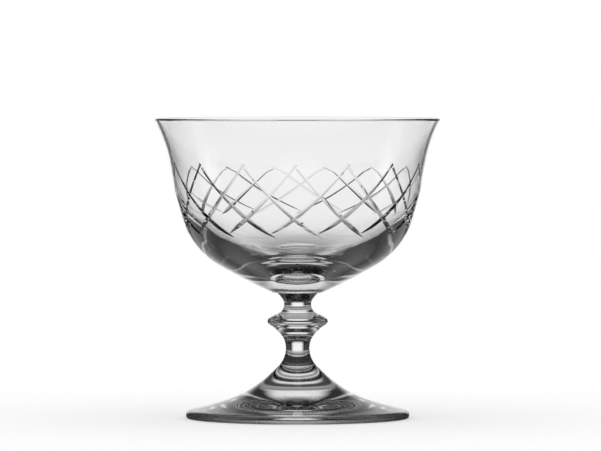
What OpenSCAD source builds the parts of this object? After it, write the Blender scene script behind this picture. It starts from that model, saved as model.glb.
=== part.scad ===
// Champagne coupe in clear glass: a flared bowl with a cut diamond band,
// a short stem with one sharp-edged knop, and a round conical foot.
// The glass stands on its foot. The origin is the centre of the foot's
// resting plane and +Z points up through the bowl.

/* [Bowl] */
// Outer diameter of the rim
rim_d = 100; // [97:0.5:104]
// Height of the bowl, from its joint with the stem up to the rim
bowl_h = 61; // [59:0.5:64]
// Flare of the lip, as an angle from upright
lip_angle = 28; // [24:1:32]
// How far the rim stands out beyond the belly, where the side turns in
lip_reach = 10; // [9:0.25:11]
// Height of the belly above the joint with the stem
belly_h = 25; // [24:0.5:26]
// Slope of the side at the belly, as an angle from upright
belly_slope = 18; // [16:1:20]
// Slope of the underside where it meets the stem, as an angle from upright
under_slope = 66; // [63:1:68]
// Outer diameter of the underside where it meets the stem
under_d = 17.6; // [16.5:0.1:19]

/* [Thickness of the glass] */
// Thickness of the lip
lip_wall = 1.2; // [1:0.1:1.5]
// Thickness of the side where the inside starts to round off
side_wall = 1.6; // [1.4:0.1:2]
// Height of that place above the joint with the stem
side_wall_h = 29; // [28:0.5:31]
// Slope of the inside at that place, as an angle from upright
inside_slope = 23; // [20:1:26]
// Thickness of the solid glass under the inside of the bowl
base_wall = 8.9; // [8:0.1:10]

/* [Cut diamond band] */
// Number of cuts around the bowl in each of the two directions
cuts = 15; // [12:1:16]
// Turn from the top tip of a cut to its bottom tip, in steps of the pattern
cut_steps = 1.54; // [1.46:0.02:1.64]
// Height of the top tip above the joint with the stem
cut_top_h = 44; // [42:0.5:45]
// Height of the middle of a cut above the joint with the stem
cut_mid_h = 29.4; // [28.9:0.1:29.9]
// Height of the bottom tip above the joint with the stem
cut_low_h = 20.3; // [19.8:0.1:20.8]
// How much higher the cuts of the second direction sit
cut_rise = 1.4; // [1:0.1:1.8]
// Depth of a cut at its top tip
top_depth = 0.34; // [0.26:0.02:0.4]
// Depth of a cut at its middle
cut_depth = 0.46; // [0.4:0.01:0.52]
// Depth of a cut at its bottom tip
low_depth = 0.12; // [0.08:0.02:0.2]
// Angle between the two faces of a cut
cut_v = 116; // [108:2:124]

/* [Stem] */
// Height of the joint between stem and bowl above the table
stem_h = 44; // [42:0.5:46]
// Diameter of the collar where the stem meets the bowl
collar_d = 14.7; // [14:0.1:15.5]
// Slope of the collar below the bowl, as an angle from upright
collar_slope = 42; // [36:1:48]
// Diameter of the upper neck, between knop and bowl
neck_d = 9.5; // [9:0.1:10.5]
// Distance from the upper neck up to the joint
neck_drop = 4.3; // [4:0.1:4.8]
// Diameter of the knop at its edge
knop_d = 21.2; // [20:0.2:23]
// Distance from the knop's edge up to the joint
knop_drop = 10.1; // [9.8:0.1:10.6]
// Slope of the knop's upper and lower faces, as an angle from upright
knop_slope = 59; // [54:1:62]
// Height of the knop's rounded edge
knop_edge_h = 2; // [1.6:0.1:2.4]
// Diameter of the waist below the knop
waist_d = 8.3; // [8:0.1:9.4]
// Distance from the waist up to the joint
waist_drop = 19.5; // [18.5:0.1:20.5]

/* [Foot] */
// Diameter of the foot
foot_d = 78.2; // [75:0.2:82]
// Diameter of the foot's cone at the middle of its curve
cone_d = 24; // [22:0.5:26]
// Height of the foot's cone at that diameter
cone_h = 13.4; // [12.6:0.1:14.2]
// Slope of the cone at that diameter, as an angle from upright
cone_slope = 50; // [47:1:54]
// Slope of the foot's top face near its edge, as an angle from upright
foot_slope = 78; // [75:1:80]
// Thickness of the foot at its edge
edge_t = 2.8; // [2.4:0.1:3.2]
// Height above the table at which the foot is widest
edge_mid_h = 1.3; // [1.1:0.1:1.5]
// Width of the rounding at the foot's edge
edge_round = 1.4; // [1:0.1:1.8]
// Width of the flat ring that the foot rests on
rest_w = 4; // [3:0.5:6]
// Height of the hollow under the middle of the foot
hollow_h = 1.6; // [1:0.1:2.2]

/* [Hidden] */
$fn = 96;

// Widest gap between an arc and the steps that draw it
arc_gap = 0.02;

// How far the body that is cut away stands out of the glass
cut_reach = 1;

// Radius of the belly, and heights above the table
belly_r = rim_d / 2 - lip_reach;
height = stem_h + bowl_h;
inside_z = stem_h + base_wall;
knop_z = stem_h - knop_drop;

// A direction in the section: 0 runs straight down, 90 outwards, -90 inwards
function heading(a) = [sin(a), -cos(a)];
function left_of(t) = [-t.y, t.x];

// An outline station is [radius, height, heading]
function place(s) = [s.x, s.y];

// Point where the two tangent arcs between stations a and b meet
function meeting(a, b) =
  let(ta = heading(a.z), tb = heading(b.z), v = place(b) - place(a), k = 2 * (1 - ta * tb))
  let(along = v * (ta + tb), even = k < 1e-6)
  let(reach = even ? (v * v) / (4 * (v * tb)) : (sqrt(along * along + k * (v * v)) - along) / k)
  (place(a) + place(b) + reach * (ta - tb)) / 2;

// Signed radius of the arc from p to q that sets off along t: positive bends to the left
function bend(p, t, q) = ((q - p) * (q - p)) / (2 * ((q - p) * left_of(t)));

// The arcs of a run of stations, each as [start, end, centre, signed radius]
function arc_from(p, t, q) = let(r = bend(p, t, q)) [p, q, p + r * left_of(t), r];
function arc_into(p, q, t) = let(r = bend(q, -t, p)) [p, q, q - r * left_of(t), -r];
function arcs(run) = [
  for (i = [0:len(run) - 2])
    let(a = run[i], b = run[i + 1], m = meeting(a, b))
    each [arc_from(place(a), heading(a.z), m), arc_into(m, place(b), heading(b.z))]
];

// The rounded edge of the lip: a bead as thick as the lip
bead_r = lip_wall / 2;
bead = [rim_d / 2 - bead_r, height - bead_r];
lip_across = [cos(lip_angle), -sin(lip_angle)];
function bead_station(side) = let(p = bead + side * bead_r * lip_across) [p.x, p.y, -lip_angle];

// Outside of the bowl, from the lip down to its joint with the stem
bowl_run = [
  bead_station(1),
  [belly_r, stem_h + belly_h, -belly_slope],
  [under_d / 2, stem_h, -under_slope]
];
bowl_arcs = arcs(bowl_run);

// Radius of the bowl's outside at height z, and its slope as an angle from upright
function arc_at(z) = [for (a = bowl_arcs) if (z <= a[0].y && z >= a[1].y) a][0];
function bowl_r(z) = let(a = arc_at(z), r = a[3], d = z - a[2].y) a[2].x - sign(r) * sqrt(r * r - d * d);
function bowl_slope(z) = let(a = arc_at(z)) asin((z - a[2].y) / a[3]);

// Stem and foot, from the bowl down to the table
stem_run = [
  [collar_d / 2, stem_h, -collar_slope],
  [neck_d / 2, stem_h - neck_drop, 0],
  [knop_d / 2 - knop_edge_h / 2, knop_z + knop_edge_h / 2, knop_slope],
  [knop_d / 2, knop_z, 0],
  [knop_d / 2 - knop_edge_h / 2, knop_z - knop_edge_h / 2, -knop_slope],
  [waist_d / 2, stem_h - waist_drop, 0],
  [cone_d / 2, cone_h, cone_slope],
  [foot_d / 2 - edge_round, edge_t, foot_slope],
  [foot_d / 2, edge_mid_h, 0],
  [foot_d / 2 - edge_round / 2, 0, -90]
];

// Hollow under the foot, from the resting ring in to the middle
ring_r = foot_d / 2 - edge_round / 2 - rest_w;
hollow_run = [[ring_r, 0, -90 - 2 * atan(hollow_h / ring_r)], [0, hollow_h, -90]];

// Inside of the bowl, from its middle up to the lip
side_z = stem_h + side_wall_h;
inside_run = [
  [0, inside_z, 90],
  [bowl_r(side_z) - side_wall, side_z, 180 - inside_slope],
  bead_station(-1) + [0, 0, 180]
];

// The lip's rounded edge, from its inside over the top to its outside
bead_top = bead + bead_r * [sin(lip_angle), cos(lip_angle)];
bead_arcs = [
  [place(bead_station(-1)), bead_top, bead, -bead_r],
  [bead_top, place(bead_station(1)), bead, -bead_r]
];

// Points along an arc from its start, its end left out
function arc_points(a) =
  let(from = a[0] - a[2], to = a[1] - a[2], r = abs(a[3]))
  let(start = atan2(from.y, from.x), turn = atan2(cross(from, to), from * to))
  let(steps = max(1, ceil(abs(turn) / (2 * acos(1 - arc_gap / r)))))
  [for (i = [0:steps - 1]) let(t = start + turn * i / steps) a[2] + r * [cos(t), sin(t)]];

// Points along a whole run of arcs, both ends included
function run_points(arcs) = [for (a = arcs) each arc_points(a), arcs[len(arcs) - 1][1]];

outline = [
  each run_points(bowl_arcs),
  each run_points(arcs(stem_run)),
  each run_points(arcs(hollow_run)),
  for (a = concat(arcs(inside_run), bead_arcs)) each arc_points(a)
];

// Half of the glass's section, to be turned about the axis
module section() {
  polygon([for (i = [len(outline) - 1:-1:0]) outline[i]]);
}

// Direction straight out of the bowl at height z, turned from +X
function out_of_bowl(z, turn) =
  let(slope = bowl_slope(z))
  [cos(slope) * cos(turn), cos(slope) * sin(turn), -sin(slope)];

// Point at height z on the bowl, turned from +X and sunk into the glass
function on_bowl(z, turn, depth) =
  [bowl_r(z) * cos(turn), bowl_r(z) * sin(turn), z] - depth * out_of_bowl(z, turn);

// Centre of the circle through three points
function circle_centre(a, b, c) =
  let(u = b - a, v = c - a, w = cross(u, v))
  a + (cross(w, u) * (v * v) + cross(v, w) * (u * u)) / (2 * (w * w));

// One V-shaped cut. Its bottom is the arc through the two tips, just under the
// surface of the glass, and the deeper middle, where the V stands square to the glass.
module cut(rise) {
  turn = cut_steps * 360 / cuts;
  mid_z = stem_h + cut_mid_h + rise;
  top = on_bowl(stem_h + cut_top_h + rise, 0, top_depth);
  mid = on_bowl(mid_z, turn / 2, cut_depth);
  low = on_bowl(stem_h + cut_low_h + rise, turn, low_depth);
  hub = circle_centre(top, mid, low);
  path_r = norm(mid - hub);
  ahead = (mid - hub) / path_r;
  axis = cross(top - hub, low - hub) / norm(cross(top - hub, low - hub));
  aside = cross(axis, ahead);
  from = atan2((top - hub) * aside, (top - hub) * ahead);
  to = atan2((low - hub) * aside, (low - hub) * ahead);
  square = out_of_bowl(mid_z, turn / 2);
  lean = atan2(square * axis, square * ahead);
  face_w = (cut_depth + cut_reach) / cos(cut_v / 2);
  faces = [for (a = [lean + cut_v / 2, lean - cut_v / 2]) [path_r + face_w * cos(a), face_w * sin(a)]];
  multmatrix([for (i = [0:2]) [ahead[i], aside[i], axis[i], hub[i]]])
    rotate_extrude(start = from, angle = to - from)
      polygon([[path_r, 0], faces[0], faces[1]]);
}

// All the cuts of one direction; the first top tip is at the front
module cuts_one_way(rise) {
  for (i = [0:cuts - 1]) rotate([0, 0, -90 + i * 360 / cuts]) cut(rise);
}

// One direction is cut after the other, as on the wheel
module coupe_glass() {
  color([0.86, 0.88, 0.89, 0.45])
    difference() {
      difference() {
        rotate_extrude() section();
        cuts_one_way(0);
      }
      mirror([1, 0, 0]) cuts_one_way(cut_rise);
    }
}

coupe_glass();
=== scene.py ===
import math

import bmesh
import bpy
import numpy as np
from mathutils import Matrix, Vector


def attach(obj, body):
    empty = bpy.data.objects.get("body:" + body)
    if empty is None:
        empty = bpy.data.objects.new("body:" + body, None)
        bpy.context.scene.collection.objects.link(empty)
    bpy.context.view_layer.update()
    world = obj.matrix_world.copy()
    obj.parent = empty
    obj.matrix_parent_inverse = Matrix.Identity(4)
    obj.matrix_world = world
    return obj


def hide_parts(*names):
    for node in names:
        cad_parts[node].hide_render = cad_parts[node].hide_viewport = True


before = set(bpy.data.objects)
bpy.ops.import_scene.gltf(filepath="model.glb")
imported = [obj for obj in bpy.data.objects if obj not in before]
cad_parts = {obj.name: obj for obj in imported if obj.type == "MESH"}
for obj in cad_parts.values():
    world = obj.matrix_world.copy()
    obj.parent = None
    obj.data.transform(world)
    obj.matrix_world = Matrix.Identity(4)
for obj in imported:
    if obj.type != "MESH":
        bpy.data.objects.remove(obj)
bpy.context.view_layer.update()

# A champagne coupe of clear glass with a cut diamond band, in a plain studio.
# Lengths of the glass are in millimetres, as on its drawing, until a mesh is made.
MM = 0.001

# Bowl
RIM_D = 100
BOWL_H = 61
LIP_ANGLE = 28
LIP_REACH = 10
BELLY_H = 25
BELLY_SLOPE = 18
UNDER_SLOPE = 66
UNDER_D = 17.6

# Thickness of the glass
LIP_WALL = 1.2
SIDE_WALL = 1.6
SIDE_WALL_H = 29
INSIDE_SLOPE = 23
BASE_WALL = 8.9

# Cut diamond band
CUTS = 15
CUT_STEPS = 1.54
CUT_TOP_H = 44
CUT_MID_H = 29.4
CUT_LOW_H = 20.3
CUT_RISE = 1.4
TOP_DEPTH = 0.34
CUT_DEPTH = 0.46
LOW_DEPTH = 0.12
CUT_V = 116
# How far the body that is cut away stands out of the glass
CUT_REACH = 1

# Stem
STEM_H = 44
COLLAR_D = 14.7
COLLAR_SLOPE = 42
NECK_D = 9.5
NECK_DROP = 4.3
KNOP_D = 21.2
KNOP_DROP = 10.1
KNOP_SLOPE = 59
# The knop's rounded edge: its height, and how far in from the edge it starts
KNOP_EDGE_H = 2.4
KNOP_EDGE_IN = 0.68
WAIST_D = 8.3
WAIST_DROP = 19.5

# Foot
FOOT_D = 78.2
CONE_D = 24
CONE_H = 13.4
CONE_SLOPE = 50
FOOT_SLOPE = 78
EDGE_T = 2.8
EDGE_MID_H = 1.3
EDGE_ROUND = 1.4
REST_W = 4
HOLLOW_H = 1.6

BELLY_R = RIM_D / 2 - LIP_REACH
HEIGHT = STEM_H + BOWL_H
INSIDE_Z = STEM_H + BASE_WALL
SIDE_Z = STEM_H + SIDE_WALL_H
KNOP_Z = STEM_H - KNOP_DROP
RING_R = FOOT_D / 2 - EDGE_ROUND / 2 - REST_W
HALF_V = math.radians(CUT_V / 2)

# Fineness of the mesh: steps around, turn and length of a step along an arc, steps of a cut
SEGMENTS = 300
TURN_STEP = math.radians(4)
LENGTH_STEP = 2
CUT_STATIONS = 28
# Lengths and values below this count as nothing
TINY = 1e-6
# The mesh's points are one where they agree to this many digits of a millimetre
DIGITS = 6

# Telling which surface a face lies on: how far the band of the cuts reaches past its tips
BAND_MARGIN = 1
# A face is part of a cut from this tilt against the turned surface
CUT_TILT = math.radians(15)
# A face that is tilted this much against its cut's two sides is the cut's flat end
END_TILT = math.radians(30)
# A face counts as this much farther from a stretch of the outline that faces the other way
TURNED_AWAY = 5
# How far a cut's sides reach past its two end stations, as an angle around its hub
ARC_MARGIN = 0.01


# The outline, from tangent arcs between stations [radius, height, heading]
def heading(angle):
    """Direction in the section: 0 runs straight down, 90 outwards, -90 inwards."""
    a = math.radians(angle)
    return np.array([math.sin(a), -math.cos(a)])


def left_of(t):
    """Direction square to t, on its left."""
    return np.array([-t[1], t[0]])


def unit(v):
    return v / np.maximum(np.linalg.norm(v, axis=-1, keepdims=True), TINY)


class Arc:
    """An arc of the outline. A positive radius bends to the left, the side of the air."""

    def __init__(self, start, end, centre, radius):
        self.start, self.end, self.centre, self.radius = start, end, centre, radius
        u, v = start - centre, end - centre
        self.turn = math.atan2(u[0] * v[1] - u[1] * v[0], u @ v)

    def points(self):
        length = abs(self.turn * self.radius)
        steps = max(1, math.ceil(max(abs(self.turn) / TURN_STEP, length / LENGTH_STEP)))
        u = self.start - self.centre
        angles = math.atan2(u[1], u[0]) + self.turn * np.arange(steps + 1) / steps
        return self.centre + abs(self.radius) * np.stack([np.cos(angles), np.sin(angles)], 1)

    def normals(self, where):
        return -unit(where - self.centre) * math.copysign(1, self.radius)

    def distance(self, where):
        off = where - self.centre
        u = self.start - self.centre
        share = np.arctan2(u[0] * off[:, 1] - u[1] * off[:, 0], off @ u) / self.turn
        beyond = np.maximum(0, np.maximum(-share, share - 1)) * abs(self.turn * self.radius)
        return np.hypot(np.linalg.norm(off, axis=1) - abs(self.radius), beyond)


class Ledge:
    """A level stretch of the outline that faces down."""

    def __init__(self, start, end):
        self.start, self.end = start, end

    def points(self):
        return np.array([self.start, self.end])

    def normals(self, where):
        return np.tile([0.0, -1.0], (len(where), 1))

    def distance(self, where):
        low, high = sorted([self.start[0], self.end[0]])
        beyond = np.maximum(0, np.maximum(low - where[:, 0], where[:, 0] - high))
        return np.hypot(where[:, 1] - self.start[1], beyond)


def meeting(p, tp, q, tq):
    """Point where the two tangent arcs between p, set off along tp, and q meet."""
    v, k = q - p, 2 * (1 - tp @ tq)
    along = v @ (tp + tq)
    if k < TINY:
        reach = (v @ v) / (4 * (v @ tq))
    else:
        reach = (math.sqrt(along * along + k * (v @ v)) - along) / k
    return (p + q + reach * (tp - tq)) / 2


def bend(p, t, q):
    """Signed radius of the arc from p to q that sets off along t."""
    d = q - p
    return (d @ d) / (2 * (d @ left_of(t)))


def arcs(run):
    """Two tangent arcs between each station of the run and the next."""
    found = []
    for a, b in zip(run, run[1:]):
        p, q = np.array(a[:2], float), np.array(b[:2], float)
        tp, tq = heading(a[2]), heading(b[2])
        m = meeting(p, tp, q, tq)
        r = bend(p, tp, m)
        found.append(Arc(p, m, p + r * left_of(tp), r))
        r = bend(q, -tq, m)
        found.append(Arc(m, q, q - r * left_of(tq), -r))
    return found


# The rounded edge of the lip: a bead as thick as the lip
BEAD_R = LIP_WALL / 2
BEAD = np.array([RIM_D / 2 - BEAD_R, HEIGHT - BEAD_R])
BEAD_TOP = BEAD - BEAD_R * heading(-LIP_ANGLE)
BEAD_OUT = BEAD + BEAD_R * left_of(heading(-LIP_ANGLE))
BEAD_IN = BEAD - BEAD_R * left_of(heading(-LIP_ANGLE))

bowl_arcs = arcs([
    [*BEAD_OUT, -LIP_ANGLE],
    [BELLY_R, STEM_H + BELLY_H, -BELLY_SLOPE],
    [UNDER_D / 2, STEM_H, -UNDER_SLOPE],
])


def bowl_arc(z):
    """The arc of the bowl's outside at height z."""
    return next(a for a in bowl_arcs if a.end[1] <= z <= a.start[1])


def bowl_r(z):
    """Radius of the bowl's outside at height z."""
    a = bowl_arc(z)
    across = math.sqrt(a.radius ** 2 - (z - a.centre[1]) ** 2)
    return a.centre[0] - math.copysign(across, a.radius)


def bowl_slope(z):
    """Slope of the bowl's outside at height z, from upright."""
    a = bowl_arc(z)
    return math.asin((z - a.centre[1]) / a.radius)


stem_arcs = arcs([
    [COLLAR_D / 2, STEM_H, -COLLAR_SLOPE],
    [NECK_D / 2, STEM_H - NECK_DROP, 0],
    [KNOP_D / 2 - KNOP_EDGE_IN, KNOP_Z + KNOP_EDGE_H / 2, KNOP_SLOPE],
    [KNOP_D / 2, KNOP_Z, 0],
    [KNOP_D / 2 - KNOP_EDGE_IN, KNOP_Z - KNOP_EDGE_H / 2, -KNOP_SLOPE],
    [WAIST_D / 2, STEM_H - WAIST_DROP, 0],
    [CONE_D / 2, CONE_H, CONE_SLOPE],
    [FOOT_D / 2 - EDGE_ROUND, EDGE_T, FOOT_SLOPE],
    [FOOT_D / 2, EDGE_MID_H, 0],
    [FOOT_D / 2 - EDGE_ROUND / 2, 0, -90],
])
hollow_arcs = arcs([
    [RING_R, 0, -90 - 2 * math.degrees(math.atan(HOLLOW_H / RING_R))],
    [0, HOLLOW_H, -90],
])
inside_arcs = arcs([
    [0, INSIDE_Z, 90],
    [bowl_r(SIDE_Z) - SIDE_WALL, SIDE_Z, 180 - INSIDE_SLOPE],
    [*BEAD_IN, 180 - LIP_ANGLE],
])
outline = [
    *bowl_arcs,
    Ledge(bowl_arcs[-1].end, stem_arcs[0].start),
    *stem_arcs,
    Ledge(stem_arcs[-1].end, hollow_arcs[0].start),
    *hollow_arcs,
    *inside_arcs,
    Arc(BEAD_IN, BEAD_TOP, BEAD, -BEAD_R),
    Arc(BEAD_TOP, BEAD_OUT, BEAD, -BEAD_R),
]


# Meshes
def new_piece(name, vertices, faces):
    """An object from points and faces, with its faces turned outwards."""
    mesh = bpy.data.meshes.new(name)
    mesh.from_pydata(vertices, [], faces)
    b = bmesh.new()
    b.from_mesh(mesh)
    bmesh.ops.recalc_face_normals(b, faces=b.faces)
    b.to_mesh(mesh)
    b.free()
    piece = bpy.data.objects.new(name, mesh)
    bpy.context.scene.collection.objects.link(piece)
    return piece


def turned(name):
    """The closed surface of the glass before it is cut, turned from the outline."""
    turn = 2 * math.pi * np.arange(SEGMENTS) / SEGMENTS
    around = np.stack([np.cos(turn), np.sin(turn)], 1)
    vertices, rings, faces = [], {}, []

    def ring_of(r, z):
        key = (round(r, DIGITS), round(z, DIGITS))
        if key not in rings:
            first = len(vertices)
            if r < TINY:
                vertices.append((0, 0, z * MM))
                rings[key] = [first] * SEGMENTS
            else:
                vertices.extend((x * r * MM, y * r * MM, z * MM) for x, y in around)
                rings[key] = range(first, first + SEGMENTS)
        return rings[key]

    for stretch in outline:
        points = stretch.points()
        for p, q in zip(points, points[1:]):
            up, low = ring_of(*p), ring_of(*q)
            for i in range(SEGMENTS):
                j = (i + 1) % SEGMENTS
                faces.append(tuple(dict.fromkeys([up[i], low[i], low[j], up[j]])))
    return new_piece(name, vertices, faces)


class Cut:
    """A V-shaped cut along the arc through its two tips and its deeper middle."""

    def __init__(self, rise, azimuth, mirrored):
        turn = math.radians(CUT_STEPS * 360 / CUTS)
        places = ((CUT_TOP_H, 0, TOP_DEPTH), (CUT_MID_H, turn / 2, CUT_DEPTH), (CUT_LOW_H, turn, LOW_DEPTH))
        top, middle, low = (on_bowl(STEM_H + h + rise, azimuth + t, depth) for h, t, depth in places)
        square = out_of_bowl(STEM_H + CUT_MID_H + rise, azimuth + turn / 2)
        if mirrored:
            top, middle, low, square = (p * (-1, 1, 1) for p in (top, middle, low, square))
        self.hub = circle_centre(top, middle, low)
        self.path_r = np.linalg.norm(middle - self.hub)
        self.ahead = unit(middle - self.hub)
        self.axis = unit(np.cross(top - self.hub, low - self.hub))
        self.aside = np.cross(self.axis, self.ahead)
        self.start, self.end = (self.polar(p)[1] for p in (top, low))
        self.lean = math.atan2(square @ self.axis, square @ self.ahead)

    def polar(self, p):
        """Distance from the hub's axis, angle around it, and height along it."""
        off = p - self.hub
        x, y = off @ self.ahead, off @ self.aside
        return np.hypot(x, y), np.arctan2(y, x), off @ self.axis

    def outwards(self, angle):
        return np.multiply.outer(np.cos(angle), self.ahead) + np.multiply.outer(np.sin(angle), self.aside)


def out_of_bowl(z, turn):
    """Direction straight out of the bowl at height z, turned from +X."""
    slope = bowl_slope(z)
    return np.array([math.cos(slope) * math.cos(turn), math.cos(slope) * math.sin(turn), -math.sin(slope)])


def on_bowl(z, turn, depth):
    """Point at height z on the bowl, turned from +X and sunk into the glass."""
    r = bowl_r(z)
    return np.array([r * math.cos(turn), r * math.sin(turn), z]) - depth * out_of_bowl(z, turn)


def circle_centre(a, b, c):
    """Centre of the circle through three points."""
    u, v = b - a, c - a
    w = np.cross(u, v)
    return a + (np.cross(w, u) * (v @ v) + np.cross(v, w) * (u @ u)) / (2 * (w @ w))


def cuts_one_way(rise, mirrored):
    """The cuts of one direction around the bowl, the first with its top tip at the front."""
    front, step = -math.pi / 2, 2 * math.pi / CUTS
    return [Cut(rise, front + i * step, mirrored) for i in range(CUTS)]


def cutter(cuts):
    """The V-shaped bodies that are taken away in one direction."""
    face_w = (CUT_DEPTH + CUT_REACH) / math.cos(HALF_V)
    vertices, faces = [], []
    for cut in cuts:
        first = len(vertices)
        last = first + 3 * CUT_STATIONS
        for angle in np.linspace(cut.start, cut.end, CUT_STATIONS + 1):
            out = cut.outwards(angle)
            bottom = cut.hub + cut.path_r * out
            tilts = (cut.lean + HALF_V, cut.lean - HALF_V)
            sides = [bottom + face_w * (math.cos(a) * out + math.sin(a) * cut.axis) for a in tilts]
            vertices += [tuple(p * MM) for p in (bottom, *sides)]
        for a in range(first, last, 3):
            faces += [(a + k, a + (k + 1) % 3, a + 3 + (k + 1) % 3, a + 3 + k) for k in range(3)]
        faces += [(first, first + 1, first + 2), (last + 2, last + 1, last)]
    return new_piece("wheel", vertices, faces)


def subtract(piece, tool):
    """Cuts the tool's shape out of the piece, and deletes the tool."""
    modifier = piece.modifiers.new("cut", "BOOLEAN")
    modifier.operation = "DIFFERENCE"
    modifier.solver = "MANIFOLD"
    modifier.object = tool
    graph = bpy.context.evaluated_depsgraph_get()
    made = bpy.data.meshes.new_from_object(piece.evaluated_get(graph))
    piece.modifiers.clear()
    piece.data = made
    bpy.data.objects.remove(tool)


# True surface directions at the mesh's corners, so that light bends as in smooth glass
def lathe_normals(points, face_centres, face_normals):
    """The turned surface's normal at each point, from the stretch that its face lies on."""
    def section_of(p):
        """Places in the section as radius and height, and the directions around the axis."""
        r = np.hypot(p[:, 0], p[:, 1])
        return np.stack([r, p[:, 2]], 1), p[:, :2] / np.maximum(r, TINY)[:, None]

    where, around = section_of(face_centres)
    facing = np.stack([np.sum(face_normals[:, :2] * around, 1), face_normals[:, 2]], 1)
    corner, around = section_of(points)
    best = np.full(len(points), np.inf)
    found = np.zeros((len(points), 2))
    for stretch in outline:
        unlike = 1 - np.sum(stretch.normals(where) * facing, 1)
        miss = stretch.distance(where) + TURNED_AWAY * unlike
        nearer = miss < best
        best[nearer] = miss[nearer]
        found[nearer] = stretch.normals(corner)[nearer]
    return np.concatenate([found[:, :1] * around, found[:, 1:]], 1)


def wheel_normals(points, face_centres, cuts):
    """The V's normal at each point, from the cut that its face lies on, and how far off that is."""
    best = np.full(len(points), np.inf)
    found = np.zeros((len(points), 3))
    for cut in cuts:
        reach, angle, height = cut.polar(face_centres)
        off = reach - cut.path_r
        side = np.sign(height * math.cos(cut.lean) - off * math.sin(cut.lean))
        tilt = cut.lean + side * HALF_V
        miss = np.abs(off * np.sin(tilt) - height * np.cos(tilt))
        miss[(angle < cut.start - ARC_MARGIN) | (angle > cut.end + ARC_MARGIN)] = np.inf
        _, angle, _ = cut.polar(points)
        out, up = (side * np.sin(tilt))[:, None], (side * np.cos(tilt))[:, None]
        nearer = miss < best
        best[nearer] = miss[nearer]
        found[nearer] = (out * cut.outwards(angle) - up * cut.axis)[nearer]
    return found, best


def read(items, name, width, kind=float):
    """A value of all of a mesh's items as an array, with this many numbers for each."""
    values = np.zeros(len(items) * width, kind)
    items.foreach_get(name, values)
    return values.reshape(-1, width) if width > 1 else values


def set_normals(piece, cuts):
    """Gives the mesh the true surface's directions, and marks the faces of the cuts."""
    mesh = piece.data
    mesh.shade_smooth()
    points = read(mesh.vertices, "co", 3) / MM
    centres = read(mesh.polygons, "center", 3) / MM
    normals = read(mesh.polygons, "normal", 3)
    face_of = np.repeat(np.arange(len(centres)), read(mesh.polygons, "loop_total", 1, int))
    corners = points[read(mesh.loops, "vertex_index", 1, int)]
    lathe = lathe_normals(corners, centres[face_of], normals[face_of])
    wheel, miss = wheel_normals(corners, centres[face_of], cuts)
    band_low = STEM_H + CUT_LOW_H - BAND_MARGIN
    band_top = STEM_H + CUT_TOP_H + CUT_RISE + BAND_MARGIN
    in_band = (centres[:, 2] > band_low) & (centres[:, 2] < band_top)
    uncut = lathe_normals(centres, centres, normals)
    is_cut = in_band & (np.sum(uncut * normals, 1) < math.cos(CUT_TILT))
    on_wheel = is_cut[face_of] & (miss < CUT_DEPTH / 2)
    exact = np.where(on_wheel[:, None], wheel, lathe)
    flat_end = is_cut[face_of] & (np.sum(exact * normals[face_of], 1) < math.cos(END_TILT))
    mesh.normals_split_custom_set(np.where(flat_end[:, None], normals[face_of], exact))
    attribute = mesh.attributes.new("cut", "FLOAT", "FACE")
    attribute.data.foreach_set("value", is_cut.astype(np.float32))


# Node helpers: an input is a number, a colour or another node's output
def add(tree, kind, **inputs):
    """A new node with these inputs, whose names have _ for a space."""
    made = tree.nodes.new(kind)
    for name, value in inputs.items():
        feed(tree, made.inputs[name.replace("_", " ")], value)
    return made


def feed(tree, socket, value):
    if isinstance(value, bpy.types.NodeSocket):
        tree.links.new(value, socket)
    else:
        socket.default_value = value


def math_node(tree, operation, *values):
    made = tree.nodes.new("ShaderNodeMath")
    made.operation = operation
    for socket, value in zip(made.inputs, values):
        feed(tree, socket, value)
    return made.outputs[0]


def ease(tree, value, start, end, low=0.0, high=1.0):
    """Goes smoothly from low to high while the value goes from start to end."""
    made = tree.nodes.new("ShaderNodeMapRange")
    made.interpolation_type = "SMOOTHSTEP"
    inputs = {"Value": value, "From Min": start, "From Max": end, "To Min": low, "To Max": high}
    for name, given in inputs.items():
        feed(tree, made.inputs[name], given)
    return made.outputs["Result"]


def blend(tree, factor, first, second):
    """From the first value to the second while the factor goes from 0 to 1."""
    change = math_node(tree, "SUBTRACT", second, first)
    return math_node(tree, "MULTIPLY_ADD", factor, change, first)


def length(tree, place, middle=(0, 0, 0)):
    """Distance of a place from a middle."""
    made = tree.nodes.new("ShaderNodeVectorMath")
    made.operation = "DISTANCE"
    feed(tree, made.inputs[0], place)
    feed(tree, made.inputs[1], middle)
    return made.outputs["Value"]


def mix(tree, factor, first, second):
    """The first shader where the factor is 0, the second where it is 1."""
    made = tree.nodes.new("ShaderNodeMixShader")
    for socket, value in zip(made.inputs, (factor, first, second)):
        feed(tree, socket, value)
    return made.outputs[0]


# Glass. Scales are per metre, and heights in metres.
GLASS_TINT = (0.985, 0.987, 0.987, 1)
GLASS_IOR = 1.52
# Grey of the thick parts
ABSORPTION_TINT = (0.5, 0.5, 0.5, 1)
ABSORPTION = 9
# Waves left by the mould
WAVE_SCALE = 110
WAVE_DETAIL = 1
WAVE_HEIGHT = 0.00004
# Smears in the polish, which grow as the noise goes from the first mark to the second
SMEAR_SCALE = 60
SMEAR_DETAIL = 3
SMEAR_MARKS = (0.5, 0.8)
SMEAR_ROUGHNESS = 0.012
# Grain of the polish in the cuts
GRAIN_SCALE = 2500
GRAIN_DETAIL = 2
GRAIN_MARKS = (0.3, 0.7)
GRAIN_ROUGHNESS = (0.02, 0.05)


def noise(tree, place, scale, detail):
    return add(tree, "ShaderNodeTexNoise", Vector=place, Scale=scale, Detail=detail).outputs["Fac"]


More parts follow.
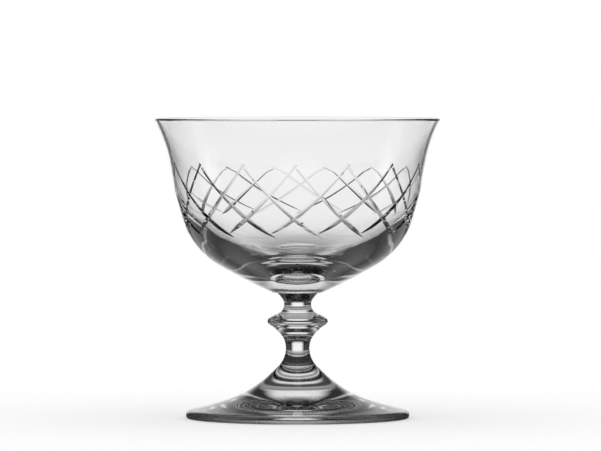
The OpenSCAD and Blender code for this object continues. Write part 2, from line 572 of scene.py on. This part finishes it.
def glass_material():
    """Clear glass: faint waves from the mould, cuts a little less smooth, grey in the thick."""
    material = bpy.data.materials.new("clear_glass")
    material.use_nodes = True
    tree = material.node_tree
    shader = tree.nodes["Principled BSDF"]
    place = tree.nodes.new("ShaderNodeTexCoord").outputs["Object"]
    cut = tree.nodes.new("ShaderNodeAttribute")
    cut.attribute_name = "cut"
    smears = noise(tree, place, SMEAR_SCALE, SMEAR_DETAIL)
    smears = ease(tree, smears, *SMEAR_MARKS, 0, SMEAR_ROUGHNESS)
    grain = noise(tree, place, GRAIN_SCALE, GRAIN_DETAIL)
    grain = ease(tree, grain, *GRAIN_MARKS, *GRAIN_ROUGHNESS)
    in_cut = math_node(tree, "MULTIPLY", cut.outputs["Fac"], grain)
    waves = noise(tree, place, WAVE_SCALE, WAVE_DETAIL)
    bump = add(tree, "ShaderNodeBump", Strength=1, Distance=WAVE_HEIGHT, Height=waves)
    feed(tree, shader.inputs["Base Color"], GLASS_TINT)
    feed(tree, shader.inputs["Roughness"], math_node(tree, "ADD", smears, in_cut))
    feed(tree, shader.inputs["IOR"], GLASS_IOR)
    feed(tree, shader.inputs["Transmission Weight"], 1)
    feed(tree, shader.inputs["Normal"], bump.outputs["Normal"])
    absorb = add(tree, "ShaderNodeVolumeAbsorption", Color=ABSORPTION_TINT, Density=ABSORPTION)
    feed(tree, tree.nodes["Material Output"].inputs["Volume"], absorb.outputs[0])
    return material


# The studio: a white screen behind the glass, a dimmer one before it, narrower ones to its
# sides, and dark between and above them. Angles are in degrees.
WHITE = (1, 1, 1, 1)
SCREEN_HALF = 17
SCREEN_FADE = 7
SIDE_HALF = 7
SIDE_FADE = 3
FRONT_SCREEN = 0.7
FRONT_TO_BACK = (-0.1, 0.1)
SCREEN_TOP = 12
CEILING_FROM = 32
GAP_LIGHT = 0.035
CEILING_LIGHT = 0.03
SOFT_LIGHT = 0.9


def edges(half, fade):
    """Where a screen begins and is full, as the cosine of twice the angle from its middle."""
    return [math.cos(math.radians(2 * a)) for a in (half + fade, half - fade)]


def screens(tree, direction, gap_light):
    """Brightness of the screens around the glass in a level direction."""
    x, y, _ = add(tree, "ShaderNodeSeparateXYZ", Vector=direction).outputs
    xx, yy = (math_node(tree, "MULTIPLY", axis, axis) for axis in (x, y))
    unlike = math_node(tree, "SUBTRACT", yy, xx)
    share = math_node(tree, "DIVIDE", unlike, math_node(tree, "ADD", xx, yy))
    ahead = ease(tree, share, *edges(SCREEN_HALF, SCREEN_FADE), gap_light, 1)
    ahead = math_node(tree, "MULTIPLY", ahead, ease(tree, y, *FRONT_TO_BACK, FRONT_SCREEN, 1))
    share = math_node(tree, "MULTIPLY", share, -1)
    aside = ease(tree, share, *edges(SIDE_HALF, SIDE_FADE), gap_light, 1)
    return math_node(tree, "MAXIMUM", ahead, aside)


def world_light():
    """Soft white light on the floor, the screens in the glass, and white behind it all."""
    world = bpy.data.worlds.new("studio")
    bpy.context.scene.world = world
    world.use_nodes = True
    tree = world.node_tree
    tree.nodes.clear()
    direction = tree.nodes.new("ShaderNodeTexCoord").outputs["Generated"]
    around = screens(tree, direction, GAP_LIGHT)
    z = add(tree, "ShaderNodeSeparateXYZ", Vector=direction).outputs["Z"]
    low, high = (math.sin(math.radians(a)) for a in (SCREEN_TOP, CEILING_FROM))
    upwards = ease(tree, z, low, high, 1, CEILING_LIGHT)
    level = math_node(tree, "MULTIPLY", around, upwards)
    studio = add(tree, "ShaderNodeBackground", Strength=level, Color=WHITE)
    white = add(tree, "ShaderNodeBackground", Strength=1, Color=WHITE)
    soft = add(tree, "ShaderNodeBackground", Strength=SOFT_LIGHT, Color=WHITE)
    path = tree.nodes.new("ShaderNodeLightPath")
    lit = mix(tree, path.outputs["Is Diffuse Ray"], studio.outputs[0], soft.outputs[0])
    seen = mix(tree, path.outputs["Is Camera Ray"], lit, white.outputs[0])
    feed(tree, tree.nodes.new("ShaderNodeOutputWorld").inputs["Surface"], seen)


# The floor, in metres. Its own look is a pale grey with a glow that makes it white.
FLOOR_HALF = 60
FLOOR_Z = -0.0001
FLOOR_GREY = (0.8, 0.8, 0.8, 1)
FLOOR_GLOW = 0.3
# Seen in the glass it glows with painted light and shade. Close by it is a painted shadow, dark around a
# middle on the camera's side
PAINTED_SHADOW_MIDDLE = (0, -0.03, 0)
PAINTED_SHADOW_EDGE = (0.04, 0.2)
PAINTED_SHADOW_LIGHT = 0.05
# Then comes a painted bright ring, and beyond it painted light of the screens, with the floor dark between
# them.
# At a grazing angle the ring is as dark, painted shade that changes with the viewing angle. An angle here
# is 1 less its cosine, so it goes from
# 0, straight down, to 1, level, which is what the node gives at this blend.
ANGLE_BLEND = 0.5
RING_EDGE = (0.45, 0.7)
RING_LIGHT = 0.7
GRAZING_EDGE = (0.76, 0.83)
# Seen steeply from above it is white, painted light that changes with the viewing angle, but not where the
# stem stands
STEEP_EDGE = (0.22, 0.5)
STEEP_LIGHT = 0.8
STEM_EDGE = (0.012, 0.036)


def painted_floor_glow(tree):
    """Painted light and shade of the floor where it shows in the glass: a painted shadow close by, painted
    light of the screens, and light that changes with the viewing angle.
    """
    place = tree.nodes.new("ShaderNodeTexCoord").outputs["Object"]
    grazing = add(tree, "ShaderNodeLayerWeight", Blend=ANGLE_BLEND).outputs["Facing"]
    # Painted light of the screens on the floor: a bright ring, dark between the screens farther out, and
    # dark gaps in the ring at a grazing angle
    ring_gaps = ease(tree, grazing, *GRAZING_EDGE, RING_LIGHT, GAP_LIGHT)
    ring = screens(tree, place, ring_gaps)
    far_out = screens(tree, place, GAP_LIGHT)
    around = blend(tree, ease(tree, length(tree, place), *RING_EDGE), ring, far_out)
    # Painted shadow of the glass: the floor's glow is dark close by
    painted_shadow = ease(tree, length(tree, place, PAINTED_SHADOW_MIDDLE), *PAINTED_SHADOW_EDGE, PAINTED_SHADOW_LIGHT, 1)
    # Painted light that changes with the viewing angle: white seen steeply, except where the stem stands
    steep = ease(tree, grazing, *STEEP_EDGE, STEEP_LIGHT, 0)
    steep = math_node(tree, "MULTIPLY", steep, ease(tree, length(tree, place), *STEM_EDGE))
    return math_node(tree, "MAXIMUM", math_node(tree, "MULTIPLY", painted_shadow, around), steep)


def floor_material():
    material = bpy.data.materials.new("floor")
    material.use_nodes = True
    tree = material.node_tree
    tree.nodes.clear()
    # The floor's painted glow, which rays through or off the glass see instead of its lit grey
    painted_glow = add(tree, "ShaderNodeEmission", Color=WHITE, Strength=painted_floor_glow(tree))
    grey = add(tree, "ShaderNodeBsdfDiffuse", Color=FLOOR_GREY)
    glow = add(tree, "ShaderNodeEmission", Color=WHITE, Strength=FLOOR_GLOW)
    bright = tree.nodes.new("ShaderNodeAddShader")
    feed(tree, bright.inputs[0], grey.outputs[0])
    feed(tree, bright.inputs[1], glow.outputs[0])
    path = tree.nodes.new("ShaderNodeLightPath")
    is_bent, is_glossy = path.outputs["Is Transmission Ray"], path.outputs["Is Glossy Ray"]
    through = math_node(tree, "MAXIMUM", is_bent, is_glossy)
    other = mix(tree, through, grey.outputs[0], painted_glow.outputs[0])
    seen = mix(tree, path.outputs["Is Camera Ray"], other, bright.outputs[0])
    feed(tree, tree.nodes.new("ShaderNodeOutputMaterial").inputs["Surface"], seen)
    return material


def floor():
    signs = ((-1, -1), (1, -1), (1, 1), (-1, 1))
    corners = [(x * FLOOR_HALF, y * FLOOR_HALF, FLOOR_Z) for x, y in signs]
    mesh = bpy.data.meshes.new("floor")
    mesh.from_pydata(corners, [], [(0, 1, 2, 3)])
    mesh.materials.append(floor_material())
    piece = bpy.data.objects.new("floor", mesh)
    bpy.context.scene.collection.objects.link(piece)


# The camera, in metres and degrees. The focal length is in pixels of the picture.
CAMERA_DISTANCE = 2.1
CAMERA_H = 0.1286
CAMERA_TURN = 0.44
AIM_H = 0.0674
AIM_ASIDE = 0.001
PICTURE_W = 601
FOCAL_PIXELS = 6000


def camera():
    data = bpy.data.cameras.new("camera")
    piece = bpy.data.objects.new("camera", data)
    bpy.context.scene.collection.objects.link(piece)
    bpy.context.scene.camera = piece
    data.lens = FOCAL_PIXELS / PICTURE_W * data.sensor_width
    data.clip_end = 2 * FLOOR_HALF
    turn = math.radians(CAMERA_TURN)
    piece.location = (CAMERA_DISTANCE * math.sin(turn), -CAMERA_DISTANCE * math.cos(turn), CAMERA_H)
    aim = Vector((AIM_ASIDE * math.cos(turn), AIM_ASIDE * math.sin(turn), AIM_H))
    piece.rotation_euler = (aim - piece.location).to_track_quat("-Z", "Y").to_euler()


def glass():
    """The cut glass, which stands for the solid. The second cuts lean the other way, higher up."""
    piece = turned("coupe_glass_cut")
    down_right, down_left = cuts_one_way(0, False), cuts_one_way(CUT_RISE, True)
    subtract(piece, cutter(down_right))
    subtract(piece, cutter(down_left))
    set_normals(piece, down_right + down_left)
    # The cutting leaves an empty slot
    piece.data.materials.clear()
    piece.data.materials.append(glass_material())
    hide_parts("coupe_glass")
    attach(piece, "root")


# How often light may pass or mirror on its way through the glass
MAX_BOUNCES = 24
GLOSSY_BOUNCES = 12

scene = bpy.context.scene
scene.view_settings.view_transform = "Standard"
scene.cycles.max_bounces = MAX_BOUNCES
scene.cycles.transmission_bounces = MAX_BOUNCES
scene.cycles.glossy_bounces = GLOSSY_BOUNCES

glass()
world_light()
floor()
camera()
